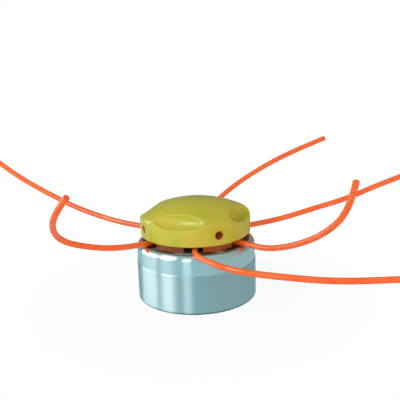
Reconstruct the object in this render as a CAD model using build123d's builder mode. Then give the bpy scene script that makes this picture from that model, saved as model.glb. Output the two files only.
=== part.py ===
from build123d import *
import math
import os

# Fixed line trimmer head with three folded nylon strands, six ends in all. It stands as in the
# photo: the hand knob on top, the gearbox side underneath. Millimetres, +Z up, the origin at the
# centre of the body's bottom rim. Threads are plain cylinders here.

# Driving dimensions

strand_d = 3.5            # nylon trimmer line
body_r = 37.5             # lower band of the aluminium body
body_h = 36.0             # height of the deck on which the strands lie
band_step = 0.3           # the upper band is turned this much smaller in radius
deck_t = 8.0
wall_t = 4.0
shoulder_round = 3.2      # deck's outer edge
foot_chamfer = 0.5

hub_r = 15.0
hub_foot_z = 4.0          # the hub ends this far above the bottom rim
rib_count = 6
rib_t = 3.0

thread_r = 5.0            # M10 stud, upper end of the arbor
gear_thread_r = 4.35      # wall of the M10 thread for the gearbox shaft, left-hand
gear_thread_cap = 4.5     # solid steel between that thread and the stud
shank_r = 7.0
shank_cap = 6.5           # deck left above the arbor's shank
flange_af = 22.0          # hexagon flange, across flats
flange_t = 5.5
edge_break = 0.6          # chamfer of turned edges

post_r = 4.0              # pins that the strands are folded round
post_orbit_r = 16.0
post_angles = (177.0, 57.0, -63.0)
post_sunk = 6.0
guide_drop = 0.2          # pins and guide lands end this far under a strand's top
land_in_r = 21.0          # guide lands on the deck, between the strands
land_edge = 7.2           # a land ends this far inwards from the upper band
land_half = 18.5          # half of a land's span, degrees
land_angles = (-63.0, -3.5, 57.0, 117.5, 177.0, -123.0)

ring_t = 1.0              # retaining rings
ring_groove = 0.4
ring_width = 2.2
ring_gap = 2.0            # opening of a split ring

knob_r = 34.45
knob_gap = 4.6            # deck to the knob's rim
knob_h = 21.1
dome_r = 74.0
knob_wall = 3.4
crown_round = 3.2
rim_chamfer = 0.4
scoop_angle = -109.5      # first finger scoop, three more at right angles
scoop_in = 4.45           # scoop's centre, inwards from the knob's side
scoop_drop = 6.3          # and down from the top
scoop_half_length = 16.6
scoop_half_width = 6.0
scoop_edge_round = 0.6
scoop_wall = 3.0
recess_depth = 0.85       # shallow recess in the side, one to each scoop
recess_half = 18.0        # half of its span, degrees
recess_turn = -13.0       # its middle from the scoop's middle
bar_hole_r = 2.5          # blind holes for a tommy bar, between the scoops
bar_hole_turn = 43.5
bar_hole_up = 6.0         # above the rim
bar_hole_depth = 11.0
bar_hole_chamfer = 0.4
socket_wall = 1.5
boss_r = 12.0
knob_rib_t = 2.2
knob_rib_up = 1.4         # the ribs start above the boss's foot
knob_rib_turn = 22.5

plate_in = 5.05           # clamp plate's edge, inwards from the knob's side
plate_t = 2.5
nose_r = 6.3              # lower end of the brass insert, on which the clamp plate swivels
nose_below = 1.0          # it reaches this far below its ring
insert_hex_af = 16.0
insert_hex_h = 5.8
insert_shank_r = 7.6
insert_h = 14.3
insert_cap = 2.3          # brass above the threaded length
drill_tip = 0.9
washer_r = 10.0
washer_t = 1.05

# Named clearances

strand_lift = 0.05        # between a strand and the deck, and a strand and the clamp plate
fold_gap = 0.19           # between a folded strand and its pin
slide_fit = 0.03          # arbor shank in the hub, radial
hex_fit = 0.05            # each flat of the arbor's hexagon
pin_fit = 0.01            # pins and insert in their seats, radial
thread_fit = 0.05         # insert bore on the stud, radial
swivel_fit = 0.06         # clamp plate on the insert's nose, radial
end_play = 0.05           # axial play at the clamp plate and the arbor's ring
stud_end_gap = 0.7        # stud's end to the end of the insert's thread

# Places that follow from them, from the gearbox side up

rib_foot_z = body_h / 3
band_z = body_h * 2 / 3   # step between the lower and the upper band
flange_seat_z = body_h / 4
flange_foot_z = flange_seat_z - flange_t
shank_top_z = body_h - shank_cap
gear_thread_top_z = shank_top_z - gear_thread_cap
deck_z = body_h - deck_t
strand_z = body_h + strand_d / 2 + strand_lift
guide_h = strand_d - guide_drop
plate_z = strand_z + strand_d / 2 + strand_lift
plate_top_z = plate_z + plate_t
plate_ring_z = plate_z - 2 * end_play - ring_t
nose_foot_z = plate_ring_z - nose_below
washer_z = plate_top_z + end_play
boss_foot_z = washer_z + washer_t
insert_hex_top_z = boss_foot_z + insert_hex_h
insert_top_z = boss_foot_z + insert_h
insert_bore_top_z = insert_top_z - insert_cap
stud_top_z = insert_bore_top_z - stud_end_gap
knob_rim_z = body_h + knob_gap
knob_top_z = knob_rim_z + knob_h
dome_z = knob_top_z - dome_r
bar_hole_z = knob_rim_z + bar_hole_up
scoop_z = knob_top_z - scoop_drop

upper_r = body_r - band_step
land_out_r = upper_r - land_edge
wall_in_r = body_r - wall_t
recess_r = knob_r - recess_depth
scoop_orbit_r = knob_r - scoop_in
bar_hole_foot_r = knob_r - bar_hole_depth
plate_r = knob_r - plate_in
cos30 = math.cos(math.radians(30))


def ring_edges(part, radius, z):
    """Circular edges of one radius at one height."""
    return part.edges().filter_by(
        lambda e: e.geom_type == GeomType.CIRCLE
        and abs(e.radius - radius) < 0.01
        and abs(e.arc_center.Z - z) < 0.01
    )


# Body: turned aluminium cup with a thick deck, open underneath

with BuildPart() as body:
    with BuildSketch(Plane.XZ):
        with BuildLine():
            Polyline(
                (thread_r + slide_fit, body_h), (upper_r, body_h), (upper_r, band_z),
                (body_r, band_z), (body_r, 0), (wall_in_r, 0), (wall_in_r, deck_z),
                (hub_r, deck_z), (hub_r, hub_foot_z), (thread_r + slide_fit, hub_foot_z),
                close=True,
            )
        make_face()
    revolve(axis=Axis.Z)
    # ribs between the hub and the wall
    with BuildSketch(Plane.XY.offset(rib_foot_z)):
        with PolarLocations((hub_r + wall_in_r) / 2, rib_count, start_angle=30):
            Rectangle(wall_in_r - hub_r + 1, rib_t)
    extrude(amount=deck_z - rib_foot_z)
    # bore for the arbor's shank and the hexagon pocket under it
    with BuildSketch(Plane.XY.offset(hub_foot_z)):
        Circle(shank_r + slide_fit)
    extrude(amount=shank_top_z + end_play - hub_foot_z, mode=Mode.SUBTRACT)
    with BuildSketch(Plane.XY.offset(hub_foot_z)):
        RegularPolygon((flange_af / 2 + hex_fit) / cos30, 6)
    extrude(amount=flange_seat_z - hub_foot_z, mode=Mode.SUBTRACT)
    # lands that guide the strands out, lower than the strands so that the plate grips these
    with BuildSketch(Plane.XY.offset(body_h)):
        for angle in land_angles:
            with BuildLine():
                near = CenterArc((0, 0), land_in_r, angle - land_half, 2 * land_half)
                far = CenterArc((0, 0), land_out_r, angle - land_half, 2 * land_half)
                Line(near @ 0, far @ 0)
                Line(near @ 1, far @ 1)
            make_face()
    extrude(amount=guide_h)
    # blind holes for the three pins
    with BuildSketch(Plane.XY.offset(body_h)):
        for angle in post_angles:
            with PolarLocations(post_orbit_r, 1, start_angle=angle):
                Circle(post_r + pin_fit)
    extrude(amount=-post_sunk, mode=Mode.SUBTRACT)
    fillet(ring_edges(body, upper_r, body_h), shoulder_round)
    chamfer(ring_edges(body, body_r, 0), foot_chamfer)
    chamfer(ring_edges(body, wall_in_r, 0), foot_chamfer / 2)
    chamfer(ring_edges(body, body_r, band_z), band_step / 2)
    chamfer(ring_edges(body, hub_r, hub_foot_z), edge_break)

# Arbor: hexagon flange in the hub, threaded bore below for the gearbox, M10 stud above

with BuildPart() as arbor:
    with BuildSketch(Plane.XY.offset(flange_foot_z)):
        RegularPolygon(flange_af / 2 / cos30, 6)
    extrude(amount=flange_t)
    with BuildSketch(Plane.XY.offset(flange_seat_z)):
        Circle(shank_r)
    extrude(amount=shank_top_z - flange_seat_z)
    with BuildSketch(Plane.XY.offset(shank_top_z)):
        Circle(thread_r)
    extrude(amount=stud_top_z - shank_top_z)
    with BuildSketch(Plane.XY.offset(flange_foot_z)):
        Circle(gear_thread_r)
    extrude(amount=gear_thread_top_z - flange_foot_z, mode=Mode.SUBTRACT)
    # drill point above the threaded length
    with Locations((0, 0, gear_thread_top_z)):
        Cone(gear_thread_r, drill_tip / 2, 2 * drill_tip,
             align=(Align.CENTER, Align.CENTER, Align.MIN), mode=Mode.SUBTRACT)
    # groove for the ring on the deck
    with BuildSketch(Plane.XY.offset(body_h)):
        Circle(shank_r)
        Circle(thread_r - ring_groove, mode=Mode.SUBTRACT)
    extrude(amount=ring_t + end_play, mode=Mode.SUBTRACT)
    chamfer(ring_edges(arbor, thread_r, stud_top_z), edge_break)
    chamfer(ring_edges(arbor, shank_r, shank_top_z), edge_break)
    chamfer(ring_edges(arbor, gear_thread_r, flange_foot_z), edge_break)

with BuildPart() as arbor_ring:
    with BuildSketch(Plane.XY.offset(body_h)):
        Circle(thread_r + ring_width)
        Circle(thread_r - ring_groove, mode=Mode.SUBTRACT)
        with Locations((0, -thread_r - ring_width / 2)):
            Rectangle(ring_gap, 2 * ring_width, mode=Mode.SUBTRACT)
    extrude(amount=ring_t)

# Pins that the strands are folded round

posts = []
for angle in post_angles:
    with BuildPart() as post:
        with BuildSketch(Plane.XY.offset(body_h - post_sunk)):
            with PolarLocations(post_orbit_r, 1, start_angle=angle):
                Circle(post_r)
        extrude(amount=post_sunk + guide_h)
        chamfer(post.edges().filter_by(GeomType.CIRCLE), edge_break)
    posts.append(post.part)

# Strands: each goes from one tip, round its pin, to the other tip. Every turn is an arc
# tangent to the runs beside it, with its ends at 0.45 of the shorter run. A point is given by
# its x, its y and its height over the strands in the gap.

arm_points = {
    "line_strand_1": (
        [(-153.0, 67.0, 49.2), (-132.0, 61.0, 32.7), (-107.0, 53.5, 19.2), (-81.5, 43.5, 8.2),
         (-54.0, 32.5, 1.2), (-32.0, 21.0, 0.0)],
        [(-34.0, -17.5, 0.0), (-49.5, -27.5, 1.7), (-63.0, -34.5, 5.7), (-73.5, -43.5, 11.7),
         (-76.5, -54.5, 21.2), (-72.5, -64.0, 33.2), (-63.5, -70.5, 43.7)],
    ),
    "line_strand_2": (
        [(143.5, 27.5, 29.7), (124.0, 28.0, 22.7), (103.0, 29.5, 13.2), (80.5, 30.5, 6.7),
         (57.5, 28.0, 0.7), (34.0, 17.0, 0.0)],
        [(2.0, 38.0, 0.0), (12.0, 59.0, 4.2), (28.5, 72.5, 14.7), (50.0, 80.5, 26.2),
         (74.0, 84.5, 37.2), (99.0, 87.0, 46.2)],
    ),
    "line_strand_3": (
        [(125.0, -81.0, -1.3), (99.0, -77.5, -3.3), (71.0, -76.0, -3.8), (43.5, -73.5, -1.3),
         (20.5, -66.0, -0.3), (5.5, -51.5, 0.7), (-1.0, -38.0, 0.0)],
        [(31.0, -22.0, 0.0), (41.5, -29.5, -1.0), (56.0, -40.5, 4.2), (70.5, -53.5, 14.7),
         (80.0, -66.5, 30.7), (80.5, -75.5, 48.2)],
    ),
}
fold_in = post_r + strand_d / 2 + fold_gap    # strand's axis to the pin's axis
fold_points = ((3.3, -9.9), (-fold_in, -3.1), (-fold_in, 3.1), (3.3, 9.9))


def fold(angle):
    """Points of the fold round the pin at one angle: outwards and across, from the pin."""
    c, s = math.cos(math.radians(angle)), math.sin(math.radians(angle))
    return [((post_orbit_r + out) * c - across * s, (post_orbit_r + out) * s + across * c, 0.0)
            for out, across in fold_points]


def turn_radii(route):
    """Radius of each turn: 0.45 of the shorter run over the tangent of half the turn."""
    points = [Vector(*p) for p in route]
    radii = []
    for before, here, after in zip(points, points[1:], points[2:]):
        run_in, run_out = here - before, after - here
        half = math.radians(run_in.get_angle(run_out)) / 2
        radii.append(0.45 * min(run_in.length, run_out.length) / math.tan(half))
    return radii


strands = {}
for (name, (first_arm, last_arm)), angle in zip(arm_points.items(), post_angles):
    route = [(x, y, strand_z + up) for x, y, up in first_arm + fold(angle) + last_arm]
    radii = turn_radii(route)
    with BuildPart() as strand:
        with BuildLine() as path:
            FilletPolyline(*route, radius=radii)
        wire = path.wires()[0]
        with BuildSketch(Plane(origin=wire @ 0, z_dir=wire % 0)):
            Circle(strand_d / 2)
        sweep(path=wire)
    strands[name] = strand.part
    section = math.pi * strand_d ** 2 / 4
    print(name, "length", round(wire.length, 1), "mm, volume over section x length",
          round(strand.part.volume / (section * wire.length), 4))
    print("  turn radii", [round(r, 1) for r in radii])

# Clamp plate: a steel disc that presses the strands on the deck

with BuildPart() as clamp_plate:
    with BuildSketch(Plane.XY.offset(plate_z)):
        Circle(plate_r)
        Circle(nose_r + swivel_fit, mode=Mode.SUBTRACT)
    extrude(amount=plate_t)
    chamfer(ring_edges(clamp_plate, plate_r, plate_z), edge_break)
    chamfer(ring_edges(clamp_plate, plate_r, plate_top_z), edge_break)

# Brass insert in the knob: blind thread for the stud, hexagon against turning, and the nose

with BuildPart() as knob_insert:
    with BuildSketch(Plane.XZ):
        with BuildLine():
            Polyline(
                (thread_r + thread_fit, nose_foot_z), (nose_r, nose_foot_z),
                (nose_r, plate_ring_z), (nose_r - ring_groove, plate_ring_z),
                (nose_r - ring_groove, plate_ring_z + ring_t + end_play),
                (nose_r, plate_ring_z + ring_t + end_play), (nose_r, boss_foot_z),
                (insert_shank_r, boss_foot_z), (insert_shank_r, insert_top_z),
                (0, insert_top_z), (0, insert_bore_top_z + drill_tip),
                (thread_r + thread_fit, insert_bore_top_z),
                close=True,
            )
        make_face()
    revolve(axis=Axis.Z)
    with BuildSketch(Plane.XY.offset(boss_foot_z)):
        RegularPolygon(insert_hex_af / 2 / cos30, 6)
        Circle(nose_r, mode=Mode.SUBTRACT)
    extrude(amount=insert_hex_top_z - boss_foot_z)
    chamfer(ring_edges(knob_insert, insert_shank_r, insert_top_z), edge_break)
    chamfer(ring_edges(knob_insert, nose_r, nose_foot_z), edge_break / 2)

with BuildPart() as thrust_washer:
    with BuildSketch(Plane.XY.offset(washer_z)):
        Circle(washer_r)
        Circle(nose_r + swivel_fit, mode=Mode.SUBTRACT)
    extrude(amount=boss_foot_z - washer_z)

with BuildPart() as plate_ring:
    with BuildSketch(Plane.XY.offset(plate_ring_z)):
        Circle(nose_r + ring_width / 2)
        Circle(nose_r - ring_groove, mode=Mode.SUBTRACT)
        with Locations((0, -nose_r)):
            Rectangle(ring_gap, 2 * ring_width, mode=Mode.SUBTRACT)
    extrude(amount=ring_t)

# Knob: a moulded crown with four finger scoops, four recesses and four tommy bar holes


def scoop_tool(extra):
    """Spheroid that cuts a finger scoop, made larger all round by extra."""
    width, length = scoop_half_width + extra, scoop_half_length + extra
    with BuildPart() as tool:
        with BuildSketch():
            Ellipse(width, length)
            Rectangle(width, 2 * length, align=(Align.MAX, Align.CENTER), mode=Mode.SUBTRACT)
        revolve(axis=Axis.Y)
    return tool.part


def bar_plane(i):
    """Upright plane square to one tommy bar hole, through the knob's axis."""
    return Plane.XZ.rotated((0, 0, scoop_angle + bar_hole_turn + 90 * (i + 1)))


scoop_cut = scoop_tool(0)
scoop_shell = scoop_tool(scoop_wall)

# the hollow under the crown, less the shells of the scoops, the boss, the ribs and the sockets
inner_r = knob_r - knob_wall
inner_dome = dome_r - knob_wall
mid_r = (inner_r + boss_r) / 2
arc_z = {r: dome_z + math.sqrt(inner_dome ** 2 - r ** 2) for r in (boss_r, mid_r, inner_r)}

with BuildPart() as knob_hollow:
    with BuildSketch(Plane.XZ):
        with BuildLine():
            Polyline(
                (boss_r, arc_z[boss_r]), (boss_r, boss_foot_z), (0, boss_foot_z),
                (0, knob_rim_z), (inner_r, knob_rim_z), (inner_r, arc_z[inner_r]),
            )
            ThreePointArc(
                (inner_r, arc_z[inner_r]), (mid_r, arc_z[mid_r]), (boss_r, arc_z[boss_r]),
            )
        make_face()
    revolve(axis=Axis.Z)
    with PolarLocations(scoop_orbit_r, 4, start_angle=scoop_angle):
        with Locations((0, 0, scoop_z)):
            add(scoop_shell, mode=Mode.SUBTRACT)
    with BuildSketch(Plane.XY.offset(boss_foot_z + knob_rib_up)):
        for side in (knob_rib_turn, -knob_rib_turn):
            with PolarLocations((boss_r + knob_r) / 2, 4, start_angle=scoop_angle + side):
                Rectangle(knob_r - boss_r + knob_rib_t, knob_rib_t)
    extrude(amount=knob_h, mode=Mode.SUBTRACT)
    for i in range(4):
        with BuildSketch(bar_plane(i).offset(bar_hole_foot_r - socket_wall)):
            with Locations((0, bar_hole_z)):
                Circle(bar_hole_r + socket_wall)
        extrude(amount=bar_hole_depth + socket_wall, mode=Mode.SUBTRACT)

with BuildPart() as knob:
    edge_z = dome_z + math.sqrt(dome_r ** 2 - knob_r ** 2)
    with BuildSketch(Plane.XZ):
        with BuildLine():
            Polyline((0, knob_top_z), (0, knob_rim_z), (knob_r, knob_rim_z), (knob_r, edge_z))
            ThreePointArc(
                (knob_r, edge_z),
                (knob_r / 2, dome_z + math.sqrt(dome_r ** 2 - knob_r ** 2 / 4)),
                (0, knob_top_z),
            )
        make_face()
    revolve(axis=Axis.Z)
    fillet(ring_edges(knob, knob_r, edge_z), crown_round)
    chamfer(ring_edges(knob, knob_r, knob_rim_z), rim_chamfer)
    # finger scoops
    with PolarLocations(scoop_orbit_r, 4, start_angle=scoop_angle):
        with Locations((0, 0, scoop_z)):
            add(scoop_cut, mode=Mode.SUBTRACT)
    scoop_faces = knob.faces().filter_by(lambda f: f.geom_type not in (
        GeomType.PLANE, GeomType.CYLINDER, GeomType.CONE, GeomType.TORUS, GeomType.SPHERE))
    fillet([edge for face in scoop_faces for edge in face.edges()], scoop_edge_round)
    # recesses with sloped ends, from the rim up to the scoops and the crown
    brim_r = knob_r + recess_depth
    brim_half = recess_half + math.degrees((brim_r - recess_r) / brim_r)
    with BuildSketch(Plane.XY.offset(knob_rim_z)):
        for i in range(4):
            middle = scoop_angle + recess_turn + 90 * i
            with BuildLine():
                floor = CenterArc((0, 0), recess_r, middle - recess_half, 2 * recess_half)
                brim = CenterArc((0, 0), brim_r, middle - brim_half, 2 * brim_half)
                Line(floor @ 0, brim @ 0)
                Line(floor @ 1, brim @ 1)
            make_face()
    extrude(amount=knob_h, mode=Mode.SUBTRACT)
    add(knob_hollow.part, mode=Mode.SUBTRACT)
    # pocket of the insert
    with BuildSketch(Plane.XY.offset(boss_foot_z)):
        RegularPolygon((insert_hex_af / 2 + pin_fit) / cos30, 6)
    extrude(amount=insert_hex_h + end_play, mode=Mode.SUBTRACT)
    with BuildSketch(Plane.XY.offset(boss_foot_z)):
        Circle(insert_shank_r + pin_fit)
    extrude(amount=insert_h, mode=Mode.SUBTRACT)
    # tommy bar holes, with a small lead-in
    for i in range(4):
        with BuildSketch(bar_plane(i).offset(bar_hole_foot_r)):
            with Locations((0, bar_hole_z)):
                Circle(bar_hole_r)
        extrude(amount=bar_hole_depth + rim_chamfer, mode=Mode.SUBTRACT)
        with BuildSketch(bar_plane(i).offset(knob_r - bar_hole_chamfer)):
            with Locations((0, bar_hole_z)):
                Circle(bar_hole_r)
        extrude(amount=2 * bar_hole_chamfer, taper=-45, mode=Mode.SUBTRACT)

part_list = {
    "body": body.part,
    "arbor": arbor.part,
    "arbor_ring": arbor_ring.part,
    "line_post_1": posts[0],
    "line_post_2": posts[1],
    "line_post_3": posts[2],
    "line_strand_1": strands["line_strand_1"],
    "line_strand_2": strands["line_strand_2"],
    "line_strand_3": strands["line_strand_3"],
    "clamp_plate": clamp_plate.part,
    "plate_ring": plate_ring.part,
    "thrust_washer": thrust_washer.part,
    "knob_insert": knob_insert.part,
    "knob": knob.part,
}

os.makedirs("parts", exist_ok=True)
for name, solid in part_list.items():
    solid.label = name
    export_step(solid, f"parts/{name}.step")
    print(name, "volume", round(solid.volume), "mm3, solids", len(solid.solids()))
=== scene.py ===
# %% [markdown]
# # A line trimmer head, dressed for its portrait
#
# The head stands upside down, as in a shop photograph: the hand knob on top, the gearbox side on
# the table. Its metal and plastic pieces come from CAD at their true size. This lesson gives them
# their finishes, lays the nylon line, and adds the small things that CAD leaves out, such as
# threads. Every length is in metres.

import math

import bmesh
import bpy
from mathutils import Matrix, Vector


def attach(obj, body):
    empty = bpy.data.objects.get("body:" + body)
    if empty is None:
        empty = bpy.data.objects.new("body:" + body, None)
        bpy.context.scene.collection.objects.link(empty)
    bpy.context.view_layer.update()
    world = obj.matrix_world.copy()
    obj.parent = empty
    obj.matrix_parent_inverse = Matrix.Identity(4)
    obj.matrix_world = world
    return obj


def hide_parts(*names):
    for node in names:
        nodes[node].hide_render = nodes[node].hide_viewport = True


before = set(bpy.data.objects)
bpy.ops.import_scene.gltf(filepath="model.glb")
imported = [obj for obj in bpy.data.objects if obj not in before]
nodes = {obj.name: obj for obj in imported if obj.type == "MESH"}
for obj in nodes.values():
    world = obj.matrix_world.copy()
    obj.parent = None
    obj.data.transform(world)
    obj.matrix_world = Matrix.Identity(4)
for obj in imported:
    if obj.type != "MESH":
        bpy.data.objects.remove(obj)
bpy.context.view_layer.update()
print("CAD pieces:", ", ".join(sorted(nodes)))

# %% [markdown]
# ## The camera
#
# The camera was fitted to the edges of the round body, so its place and tilt are known. It looks
# down by 14 degrees, and it is rolled a little: the head leans to the left in the picture. A
# camera looks along its own -Z, so its matrix is built from a right, an up and a backward vector.

# %% Camera
PITCH = math.radians(13.96)
ROLL = math.radians(-1.85)
CAMERA_PLACE = Vector((0.0034, -0.3634, 0.1508))
SENSOR = 36.0
LENS = 54.0


def camera_matrix(place, pitch, roll):
    forward = Vector((0, math.cos(pitch), -math.sin(pitch)))
    level_up = Vector((0, math.sin(pitch), math.cos(pitch)))
    level_right = Vector((1, 0, 0))
    right = level_right * math.cos(roll) + level_up * math.sin(roll)
    up = level_up * math.cos(roll) - level_right * math.sin(roll)
    turn = Matrix((right, up, -forward)).transposed().to_4x4()
    return Matrix.Translation(place) @ turn


camera_data = bpy.data.cameras.new("camera")
camera_data.sensor_width = SENSOR
camera_data.lens = LENS
camera_data.clip_start = 0.01
camera = bpy.data.objects.new("camera", camera_data)
bpy.context.scene.collection.objects.link(camera)
camera.matrix_world = camera_matrix(CAMERA_PLACE, PITCH, ROLL)
bpy.context.scene.camera = camera
print("camera", LENS, "mm, tilted down", round(math.degrees(PITCH), 1), "degrees")

# %% [markdown]
# ## The nylon line
#
# Each strand is folded round a steel pin under the clamp plate, and its two arms come out of the
# gap. The line is stiff and springy, and it remembers the spool, so the arms stand out in the air
# in lazy curves. A NURBS spline of order 3 through a few control points bends like such a line:
# it never breaks direction, and each point pulls only on its own stretch. The order is set after
# the points exist, because a spline with one point can't hold it. The bevel is one metre deep, and
# each point's radius scales it down to the line's: Blender adds that radius to the curve's box,
# and a radius left at 1 would make the box a metre too large.

# %% Strand arms
LINE_DIAMETER = 0.0035
DECK_HEIGHT = 0.036
LINE_LIFT = 0.00005
LINE_HEIGHT = DECK_HEIGHT + LINE_DIAMETER / 2 + LINE_LIFT
# the pins' distance from the axis, in millimetres
PIN_ORBIT = 16.0
# each strand's pin angle, in degrees
PINS = {"1": 177, "2": 57, "3": -63}
# the fold seen from its pin, in millimetres outwards and across: its middle and one half
FOLD_HALF = ((-6.3, 0), (-6.3, 3.3), (3.3, 9.9))
# the six arms: strand, side of the fold, and points outwards in millimetres, with their
# height over the strands in the gap
ARMS = (
    ("1", -1, "far_left", ((-32, 21, 0), (-54, 32.5, 1.2), (-81.5, 43.5, 8.2), (-107, 53.5, 19.2),
                           (-132, 61, 32.7), (-153, 67, 49.2))),
    ("1", 1, "curl_left", ((-34, -17.5, 0), (-49.5, -27.5, 1.7), (-63, -34.5, 5.7),
                           (-73.5, -43.5, 11.7), (-76.5, -54.5, 21.2), (-72.5, -64, 33.2),
                           (-63.5, -70.5, 43.7))),
    ("2", 1, "back_right", ((2, 38, 0), (12, 59, 4.2), (28.5, 72.5, 14.7), (50, 80.5, 26.2),
                            (74, 84.5, 37.2), (99, 87, 46.2))),
    ("2", -1, "far_right", ((34, 17, 0), (57.5, 28, 0.7), (80.5, 30.5, 6.7), (103, 29.5, 13.2),
                            (124, 28, 22.7), (143.5, 27.5, 29.7))),
    ("3", 1, "curl_right", ((31, -22, 0), (41.5, -29.5, -1), (56, -40.5, 4.2), (70.5, -53.5, 14.7),
                            (80, -66.5, 30.7), (80.5, -75.5, 48.2))),
    ("3", -1, "front_right", ((-1, -38, 0), (5.5, -51.5, 0.7), (20.5, -66, -0.3),
                              (43.5, -73.5, -1.3), (71, -76, -3.8), (99, -77.5, -3.3),
                              (125, -81, -1.3))),
)


def arm_route(strand, side, outer):
    """Points of one arm in metres, from the middle of its fold to its tip."""
    turn = math.radians(PINS[strand])
    c, s = math.cos(turn), math.sin(turn)
    inner = [((PIN_ORBIT + out) * c - side * across * s,
              (PIN_ORBIT + out) * s + side * across * c, 0)
             for out, across in FOLD_HALF]
    return [Vector((x / 1000, y / 1000, LINE_HEIGHT + up / 1000))
            for x, y, up in inner + list(outer)]


def spline_length(curve_object):
    """Length of the spline itself: the same curve with no thickness, as a chain of edges."""
    bare = curve_object.data.copy()
    bare.bevel_depth = 0
    probe = bpy.data.objects.new("probe", bare)
    mesh = bpy.data.meshes.new_from_object(probe)
    points = [v.co for v in mesh.vertices]
    length = sum((b - a).length for a, b in zip(points, points[1:]))
    bpy.data.objects.remove(probe)
    bpy.data.meshes.remove(mesh)
    bpy.data.curves.remove(bare)
    return length


strand_pieces = []
for strand, side, name, outer in ARMS:
    points = arm_route(strand, side, outer)
    curve = bpy.data.curves.new("line_" + name, "CURVE")
    curve.dimensions = "3D"
    curve.bevel_depth = 1.0
    curve.bevel_resolution = 6
    curve.use_fill_caps = True
    spline = curve.splines.new("NURBS")
    spline.points.add(len(points) - 1)
    for control, point in zip(spline.points, points):
        control.co = (*point, 1)
        control.radius = LINE_DIAMETER / 2
    spline.order_u = 3
    spline.use_endpoint_u = True
    spline.resolution_u = 16
    spline.use_smooth = True
    arm = bpy.data.objects.new("line_" + name, curve)
    bpy.context.scene.collection.objects.link(arm)
    length = spline_length(arm)
    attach(arm, "head")
    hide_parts("line_strand_" + strand)
    strand_pieces.append(arm)
    print(arm.name, "is", round(length * 1000), "mm long")

# %% [markdown]
# ## A small language for finishes
#
# A finish is a tree of shader nodes. Wired by hand in Python, such a tree is long and hard to
# read, so two small classes help. A Wire is one output socket, and Python's own arithmetic on
# Wires adds Math nodes. A Finish is a material, with one method that adds any other node.

# %% Finish and Wire


class Wire:
    """One output socket. Arithmetic on it adds Math nodes."""

    def __init__(self, tree, socket):
        self.tree, self.socket = tree, socket

    def maths(self, operation, *values, clamp=False):
        return self.tree.node("Math", {"operation": operation, "use_clamp": clamp},
                              dict(enumerate(values)))

    def __add__(self, other):
        return self.maths("ADD", self, other)

    def __sub__(self, other):
        return self.maths("SUBTRACT", self, other)

    def __mul__(self, other):
        return self.maths("MULTIPLY", self, other)

    def __pow__(self, other):
        return self.maths("POWER", self, other)

    def __radd__(self, other):
        return self.maths("ADD", other, self)

    def __rsub__(self, other):
        return self.maths("SUBTRACT", other, self)

    def __rmul__(self, other):
        return self.maths("MULTIPLY", other, self)

    def clipped(self):
        return self.maths("ADD", self, 0.0, clamp=True)

    def sine(self):
        return self.maths("SINE", self)

    def size(self):
        """This without its sign."""
        return self.maths("ABSOLUTE", self)

    def ramp(self, low, high):
        """0 where this is low, 1 where it is high, smooth between."""
        return self.tree.node("MapRange", {"interpolation_type": "SMOOTHSTEP"},
                              {0: self, 1: low, 2: high, 3: 0.0, 4: 1.0})


class Tree:
    """The shader nodes of a material or a world."""

    def __init__(self, owner):
        owner.use_nodes = True
        self.nodes, self.links = owner.node_tree.nodes, owner.node_tree.links

    def node(self, kind, settings=None, inputs=None, out=0):
        made = self.nodes.new("ShaderNode" + kind)
        for key, value in (settings or {}).items():
            setattr(made, key, value)
        for socket, value in (inputs or {}).items():
            self.feed(made.inputs[socket], value)
        return Wire(self, made.outputs[out])

    def feed(self, socket, value):
        if isinstance(value, Wire):
            self.links.new(value.socket, socket)
        else:
            socket.default_value = value

    def place(self):
        """Object coordinates, in metres."""
        return self.node("TexCoord", out="Object")

    def axes(self, vector=None):
        """A vector's x, y and z as three Wires."""
        split = self.node("SeparateXYZ", inputs={0: vector or self.place()})
        return [Wire(self, out) for out in split.socket.node.outputs]

    def noise(self, scale, detail=2.0, vector=None):
        return self.node("TexNoise", inputs={"Vector": vector or self.place(), "Scale": scale,
                                             "Detail": detail})

    def mix(self, factor, a, b, blend="MIX"):
        """Two colours mixed. Mix's colour sockets are 6 and 7, and its colour output is 2."""
        return self.node("Mix", {"data_type": "RGBA", "blend_type": blend},
                         {0: factor, 6: a, 7: b}, out=2)

    def ray(self, kind):
        """1 for rays of one kind, such as those from the camera."""
        return self.node("LightPath", out="Is " + kind + " Ray")


class Finish(Tree):
    """A material around one Principled shader."""

    def __init__(self, name, **constants):
        self.material = bpy.data.materials.new(name)
        super().__init__(self.material)
        self.shader = self.nodes["Principled BSDF"]
        self.set(**constants)

    def set(self, **values):
        for socket, value in values.items():
            self.feed(self.shader.inputs[socket.replace("_", " ")], value)

    def bump(self, height, distance, strength=1.0):
        self.set(Normal=self.node("Bump", inputs={"Height": height, "Distance": distance,
                                                  "Strength": strength}))


def colour(red, green, blue):
    """A colour written as on a screen, 0 to 255, in the linear values that sockets hold."""
    def linear(value):
        value /= 255
        return value / 12.92 if value <= 0.04045 else ((value + 0.055) / 1.055) ** 2.4
    return (linear(red), linear(green), linear(blue), 1.0)


def dress(piece, finish):
    piece.data.materials.clear()
    piece.data.materials.append(finish.material)


# %% [markdown]
# ## Nylon
#
# Trimmer line is extruded nylon, dyed through. It is a little translucent, so light that enters
# at one side leaks out near it: subsurface scattering gives that glow. The dye is a touch uneven.

# %% Nylon finish
nylon = Finish("nylon_line", Roughness=0.18, IOR=1.53, Subsurface_Weight=0.3,
               Subsurface_Radius=(0.003, 0.0012, 0.0006), Subsurface_Scale=1.0)
dye = nylon.noise(90.0)
nylon.set(Base_Color=nylon.mix(dye.ramp(0.35, 0.65), colour(255, 104, 34), colour(255, 118, 46)))
for arm in strand_pieces:
    dress(arm, nylon)

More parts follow.
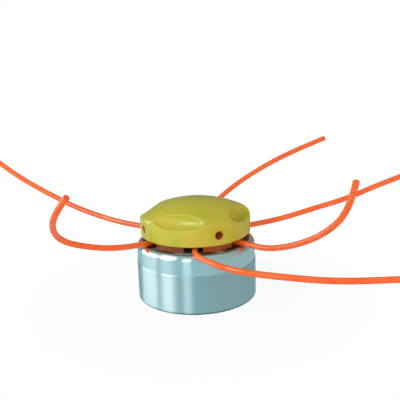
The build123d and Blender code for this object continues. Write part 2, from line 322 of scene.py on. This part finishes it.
# %% [markdown]
# ## Moulded knob
#
# The knob is injection moulded in a yellow-green plastic with a satin skin. A fine grain in the
# skin breaks up its reflections, and large, faint patches of colour show how the melt flowed.
# Four holes in its side take a bar that loosens it, and their insides are painted orange-brown:
# painted warm light, as on a lit inner wall. Their axes make a cross, so a point's distance from
# the nearest axis shows where the holes are.

# %% Knob finish
BAR_HOLE_TURN = math.radians(-66)
BAR_HOLE_Z = 0.0466
BAR_HOLE_RADIUS = 0.0025
KNOB_SIDE_IN, KNOB_SIDE_OUT = 0.0340, 0.0344
knob_skin = Finish("knob_plastic", IOR=1.5, Subsurface_Weight=0.08,
                   Subsurface_Radius=(0.002, 0.002, 0.0005), Subsurface_Scale=1.0)
flow = knob_skin.noise(35.0, 3.0)
grain = knob_skin.noise(2600.0)
x, y, z = knob_skin.axes()
along = x * math.cos(BAR_HOLE_TURN) + y * math.sin(BAR_HOLE_TURN)
across = y * math.cos(BAR_HOLE_TURN) - x * math.sin(BAR_HOLE_TURN)
nearest = along.maths("MINIMUM", along.size(), across.size())
from_hole = (nearest * nearest + (z - BAR_HOLE_Z) ** 2) ** 0.5
# painted warm light: the bar holes' insides get an orange-brown colour, as on a lit inner wall
hole_painted_light = (from_hole.ramp(BAR_HOLE_RADIUS + 0.0004, BAR_HOLE_RADIUS + 0.0001)
           * ((x * x + y * y) ** 0.5).ramp(KNOB_SIDE_OUT, KNOB_SIDE_IN))
skin_colour = knob_skin.mix(flow.ramp(0.3, 0.7), colour(184, 188, 50), colour(206, 198, 66))
knob_skin.set(
    Base_Color=knob_skin.mix(hole_painted_light, skin_colour, colour(214, 128, 68)),
    Roughness=0.26 + 0.1 * flow)
knob_skin.bump(grain, 0.00002, 0.5)
dress(nodes["knob"], knob_skin)

# %% [markdown]
# ## Guide caps of painted light
#
# Six lands on the deck part the strands. Each wears a thin cap whose brown is painted light: it
# stands for the orange glow that the strands bounce into the shaded gap. A cap's section is a
# rectangle that is spun through the land's angle, and its edges are then rounded. It is a little
# larger than the land all round, so it covers it.

# %% Guide caps
LAND_INNER, LAND_OUTER, LAND_TOP = 0.021, 0.030, 0.0393
LAND_HALF = 18.5
LAND_ANGLES = (-63, -3.5, 57, 117.5, 177, -123)
CAP_SKIN = 0.00014
CAP_STEPS = 12
CAP_EDGE_ROUND = 0.0001
CAP_FOOT_CLEAR = 0.001
SHARP = math.radians(60)

# painted light: the caps' brown is the orange glow that the strands bounce into the shaded gap
cap_painted_glow = Finish("guide_painted_glow", Roughness=0.5, IOR=1.5)
cap_patches = cap_painted_glow.noise(160.0, 3.0)
cap_painted_glow.set(Base_Color=cap_painted_glow.mix(cap_patches.ramp(0.3, 0.7), colour(150, 74, 32),
                                           colour(176, 92, 40)))
cap_painted_glow.bump(cap_painted_glow.noise(2200.0), 0.00002, 0.5)


def new_piece(bm, name, body, finish):
    """A bmesh made into a piece that rides on a body."""
    bmesh.ops.recalc_face_normals(bm, faces=bm.faces)
    mesh = bpy.data.meshes.new(name)
    bm.to_mesh(mesh)
    bm.free()
    mesh.materials.append(finish.material)
    piece = bpy.data.objects.new(name, mesh)
    bpy.context.scene.collection.objects.link(piece)
    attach(piece, body)
    print(name, "has", len(mesh.polygons), "faces")


bm = bmesh.new()
for middle in LAND_ANGLES:
    extra = math.degrees(CAP_SKIN / LAND_INNER)
    start = math.radians(middle - LAND_HALF - extra)
    inner, outer, top = LAND_INNER - CAP_SKIN, LAND_OUTER + CAP_SKIN, LAND_TOP + CAP_SKIN
    corners = [(inner, DECK_HEIGHT), (outer, DECK_HEIGHT), (outer, top), (inner, top)]
    ring = [bm.verts.new((r * math.cos(start), r * math.sin(start), z)) for r, z in corners]
    section = bm.faces.new(ring)
    bmesh.ops.spin(bm, geom=[section, *section.edges, *ring], cent=(0, 0, 0), axis=(0, 0, 1),
                   angle=math.radians(2 * (LAND_HALF + extra)), steps=CAP_STEPS)
bmesh.ops.remove_doubles(bm, verts=bm.verts, dist=1e-6)
sharp = [edge for edge in bm.edges
         if len(edge.link_faces) == 2 and edge.calc_face_angle() > SHARP
         and max(v.co.z for v in edge.verts) > DECK_HEIGHT + CAP_FOOT_CLEAR]
bmesh.ops.bevel(bm, geom=sharp, offset=CAP_EDGE_ROUND, offset_type="OFFSET", segments=2,
                profile=0.5, affect="EDGES", clamp_overlap=True, material=-1)
new_piece(bm, "painted_glow_caps", "head", cap_painted_glow)

# %% [markdown]
# ## Gate mark
#
# Moulding leaves a small round scar on the crown, where the plastic entered the mould. It is a low
# disc with a dimple, and it stands on the crown's dome, a little in front of the middle.

# %% Gate mark
DOME_RADIUS = 0.074
KNOB_TOP = 0.0617
GATE_PLACE = (-0.002, -0.006)
GATE_RADIUS = 0.0012

# the disc's outline from the axis outwards and back: share of the radius, and height
GATE_PROFILE = ((0, 0.00005), (0.3, 0.00006), (0.5, 0.0003), (0.8, 0.00034), (1.0, 0.00015),
                (1.05, -0.0001), (0, -0.0001))
GATE_STEPS = 32

dome_rise = math.sqrt(DOME_RADIUS ** 2 - GATE_PLACE[0] ** 2 - GATE_PLACE[1] ** 2)
gate_z = KNOB_TOP - DOME_RADIUS + dome_rise
gate_up = Vector((*GATE_PLACE, dome_rise)).normalized()
bm = bmesh.new()
verts = [bm.verts.new((GATE_RADIUS * r, 0, h)) for r, h in GATE_PROFILE]
edges = [bm.edges.new(pair) for pair in zip(verts, verts[1:])]
bmesh.ops.spin(bm, geom=verts + edges, cent=(0, 0, 0), axis=(0, 0, 1), angle=2 * math.pi,
               steps=GATE_STEPS, use_merge=True)
bmesh.ops.remove_doubles(bm, verts=bm.verts, dist=1e-7)
tilt = gate_up.to_track_quat("Z", "Y").to_matrix().to_4x4()
bmesh.ops.transform(bm, matrix=Matrix.Translation((*GATE_PLACE, gate_z)) @ tilt, verts=bm.verts)
for face in bm.faces:
    face.smooth = True
new_piece(bm, "gate_mark", "knob", knob_skin)

# %% [markdown]
# ## Turned aluminium
#
# A lathe leaves fine rings round the axis. Each ring is a tiny curved mirror, so a reflection is
# smeared out along the axis but stays sharp round it: that is why turned metal shows upright
# streaks. The shader has this as anisotropy. Its grain runs round the z axis by itself, and a
# quarter turn stretches the reflections upright. The upper band was cut with a finishing pass, so
# it is smoother than the lower one, which also has coarser rings that catch the light one by one.
# The flat of the deck is painted dark brown, less metallic and rougher: painted shade, with a
# painted reflection of the orange line, for the deck under the knob. The foot's chamfer is painted
# dark teal: painted shade for the contact shadow that it mirrors.

# %% Aluminium finish
BAND_Z = 0.024
BAND_BLEND = 0.0002
DECK_BLEND = 0.0001
FLAT_DECK_IN, FLAT_DECK_OUT = 0.0335, 0.034
FOOT_HEIGHT = 0.0016
RING_PITCH, RING_DEPTH = 0.0009, 0.000004
aluminium = Finish("turned_aluminium", Anisotropic=1.0, Anisotropic_Rotation=0.25)
x, y, z = aluminium.axes()
lower_band = z.ramp(BAND_Z + BAND_BLEND, BAND_Z - BAND_BLEND)
cloud = aluminium.noise(60.0, 3.0)
from_axis = (x * x + y * y) ** 0.5
# painted shade and painted reflection: the flat of the deck turns dark brown, less metallic and
# rougher
deck_painted_shade = (z.ramp(DECK_HEIGHT - 2 * DECK_BLEND, DECK_HEIGHT - DECK_BLEND)
        * from_axis.ramp(FLAT_DECK_OUT, FLAT_DECK_IN))
# painted shade: the foot's chamfer turns dark teal, for the contact shadow that it mirrors
foot_painted_shade = z.ramp(FOOT_HEIGHT, FOOT_HEIGHT / 3)
rings = (z * (2 * math.pi / RING_PITCH)).sine() * 0.5 + 0.5
bare = aluminium.mix(cloud.ramp(0.3, 0.7), colour(232, 244, 244), colour(243, 250, 250))
banded = aluminium.mix(lower_band, bare, colour(220, 231, 232))
footed = aluminium.mix(foot_painted_shade, banded, colour(96, 140, 150))
aluminium.set(
    Base_Color=aluminium.mix(deck_painted_shade * cloud.ramp(0.2, 0.5), footed, colour(58, 38, 30)),
    Metallic=1.0 - 0.8 * deck_painted_shade,
    Roughness=0.22 + 0.12 * lower_band + 0.2 * deck_painted_shade + 0.04 * cloud)
aluminium.bump(rings * lower_band, RING_DEPTH)
dress(nodes["body"], aluminium)

# %% [markdown]
# ## Small metal and plastic pieces
#
# The arbor, the pins and the clamp plate are zinc-plated steel. The split rings are spring steel
# with a dark phosphate coat. The insert is brass, and the washer is undyed nylon.

# %% Other finishes


def plated(name, dark, light, roughness, metallic=1.0):
    finish = Finish(name, Metallic=metallic)
    patches = finish.noise(140.0, 3.0)
    finish.set(Base_Color=finish.mix(patches.ramp(0.3, 0.7), dark, light),
               Roughness=roughness + 0.12 * patches)
    return finish


zinc = plated("zinc_plated_steel", (0.48, 0.49, 0.5, 1), (0.6, 0.61, 0.63, 1), 0.26)
spring_steel = plated("phosphated_spring_steel", (0.06, 0.06, 0.065, 1), (0.1, 0.1, 0.11, 1), 0.4)
brass = plated("turned_brass", (0.66, 0.45, 0.16, 1), (0.78, 0.56, 0.24, 1), 0.22)
natural_nylon = plated("natural_nylon", (0.72, 0.7, 0.62, 1), (0.8, 0.78, 0.7, 1), 0.45, 0.0)
for name in ("arbor", "line_post_1", "line_post_2", "line_post_3", "clamp_plate"):
    dress(nodes[name], zinc)
for name in ("arbor_ring", "plate_ring"):
    dress(nodes[name], spring_steel)
dress(nodes["knob_insert"], brass)
dress(nodes["thrust_washer"], natural_nylon)

# %% [markdown]
# ## Thread for the gearbox
#
# The hole under the head takes the gearbox's shaft. Its thread is M10 with a pitch of 1.25 mm, and
# left-handed, so that work tightens it. One small section, sunk a little in the bore's wall, is
# spun round the axis and moves along it at the same time: that makes the ridge.

# %% Thread ridge
BORE_RADIUS = 0.00435
THREAD_PITCH = 0.00125
THREAD_FOOT, THREAD_TURNS = 0.0052, 15
RIDGE_IN, RIDGE_SUNK = 0.0003, 0.0001
RIDGE_HALF, CREST_HALF = 0.00045, 0.00008
STEPS_PER_TURN = 32

bm = bmesh.new()
corners = [(BORE_RADIUS + RIDGE_SUNK, -RIDGE_HALF), (BORE_RADIUS - RIDGE_IN, -CREST_HALF),
           (BORE_RADIUS - RIDGE_IN, CREST_HALF), (BORE_RADIUS + RIDGE_SUNK, RIDGE_HALF)]
ring = [bm.verts.new((r, 0, THREAD_FOOT + h)) for r, h in corners]
section = bm.faces.new(ring)
bmesh.ops.spin(bm, geom=[section, *section.edges, *ring], cent=(0, 0, 0), axis=(0, 0, 1),
               dvec=(0, 0, THREAD_PITCH / STEPS_PER_TURN), angle=-2 * math.pi * THREAD_TURNS,
               steps=STEPS_PER_TURN * THREAD_TURNS)
new_piece(bm, "gearbox_thread", "head", zinc)

# %% [markdown]
# ## Table
#
# The photograph has a plain white ground. The table is a large square that glows white for the
# camera, so that it meets the world's white with no horizon. Close to the head a small share is
# matt white, which keeps a faint shadow under it. From below the table is clear, so that the
# underside can be seen. The turned metal mirrors the table and the room, and sees both dim:
# blue-green on the left, grey on the right, and dark behind the head.

# %% White table
ROOM_LEFT, ROOM_RIGHT = (0.31, 0.53, 0.58, 1), (0.33, 0.41, 0.40, 1)
ROOM_BACK = (0.14, 0.18, 0.16, 1)
TABLE_HALF = 3.0
NEAR_HEAD, OFF_HEAD = 0.05, 0.13
GLOW_NEAR = 0.92


def room_tint(tree, rightwards):
    """What the metal mirrors: the room's colour, from left (0) to right (1)."""
    return tree.mix(rightwards, ROOM_LEFT, ROOM_RIGHT)


bm = bmesh.new()
bmesh.ops.create_grid(bm, x_segments=1, y_segments=1, size=TABLE_HALF)
table_mesh = bpy.data.meshes.new("table")
bm.to_mesh(table_mesh)
bm.free()
table = bpy.data.objects.new("table", table_mesh)
bpy.context.scene.collection.objects.link(table)

ground = Finish("white_ground", Roughness=0.9, Base_Color=(0.85, 0.85, 0.85, 1))
from_head = ground.node("VectorMath", {"operation": "LENGTH"}, {0: ground.place()}, out="Value")
far = from_head.ramp(NEAR_HEAD, OFF_HEAD)
mirrored = ground.ray("Glossy")
table_side = ground.axes()[0]
glow = ground.node("Emission", inputs={
    "Color": ground.mix(mirrored, (1, 1, 1, 1), room_tint(ground, table_side.ramp(0.0, 0.3)))})
share = (ground.ray("Camera") * (GLOW_NEAR + (1 - GLOW_NEAR) * far) + mirrored).clipped()
top_side = ground.node("MixShader", inputs={0: share, 1: Wire(ground, ground.shader.outputs[0]),
                                            2: glow})
from_below = ground.node("NewGeometry", out="Backfacing")
ground.feed(ground.nodes["Material Output"].inputs["Surface"],
            ground.node("MixShader", inputs={0: from_below, 1: top_side,
                                             2: ground.node("BsdfTransparent")}))
table_mesh.materials.append(ground.material)

# %% [markdown]
# ## World and lamps
#
# The camera sees a white world, and the pieces are lit by a dimmer one. A soft lamp stands over the
# left shoulder, and a warm fill on the right, low down. Upright panels on the left give the bright
# streaks on the turned metal, and they are seen in reflections only.

# %% World
world = bpy.data.worlds.new("studio")
bpy.context.scene.world = world
sky = Tree(world)
side, depth, height = sky.axes(sky.node("TexCoord", out="Generated"))
light = sky.mix(height.ramp(0.0, 0.9), (0.6, 0.62, 0.62, 1), (0.36, 0.38, 0.36, 1))
room = sky.mix(depth.ramp(-0.1, 0.7), room_tint(sky, side.ramp(0.0, 0.9)), ROOM_BACK)
mirror = sky.mix(sky.ray("Glossy"), light, room)
sky.feed(sky.nodes["Background"].inputs["Color"], sky.mix(sky.ray("Camera"), mirror, (1, 1, 1, 1)))

# %% Lamps
LAMP_AIM = 0.04


def panel(name, angle, distance, width, height, radiance, low=0.0, tint=(1, 1, 1),
          streak_only=False, soft_only=False):
    """A light panel that stands at an angle from the camera's side, positive to the left."""
    light = bpy.data.lights.new(name, "AREA")
    light.shape = "RECTANGLE"
    light.size, light.size_y = width, height
    light.energy = radiance * math.pi * width * height
    light.color = tint
    lamp = bpy.data.objects.new(name, light)
    turn = math.radians(angle)
    place = Vector((-distance * math.sin(turn), -distance * math.cos(turn), low + height / 2))
    towards = Vector((0, 0, LAMP_AIM)) - place
    lamp.matrix_world = (Matrix.Translation(place)
                         @ towards.to_track_quat("-Z", "Y").to_matrix().to_4x4())
    lamp.visible_diffuse = not streak_only
    lamp.visible_glossy = not soft_only
    bpy.context.scene.collection.objects.link(lamp)


panel("soft_key", 60, 0.65, 0.33, 0.35, 7.4, low=0.3)
panel("front_fill", 10, 0.7, 0.4, 0.4, 1.2, low=0.2, soft_only=True)
panel("warm_fill", -50, 0.6, 0.4, 0.4, 2.8, tint=(1.0, 0.42, 0.2), soft_only=True)
panel("streak_front", 18, 0.8, 0.21, 0.5, 1.9, streak_only=True)
panel("streak_left", 61, 0.8, 0.27, 0.5, 0.6, streak_only=True)
panel("streak_far_left", 101, 0.8, 0.66, 0.5, 2.9, streak_only=True)
bpy.context.scene.view_settings.view_transform = "Standard"
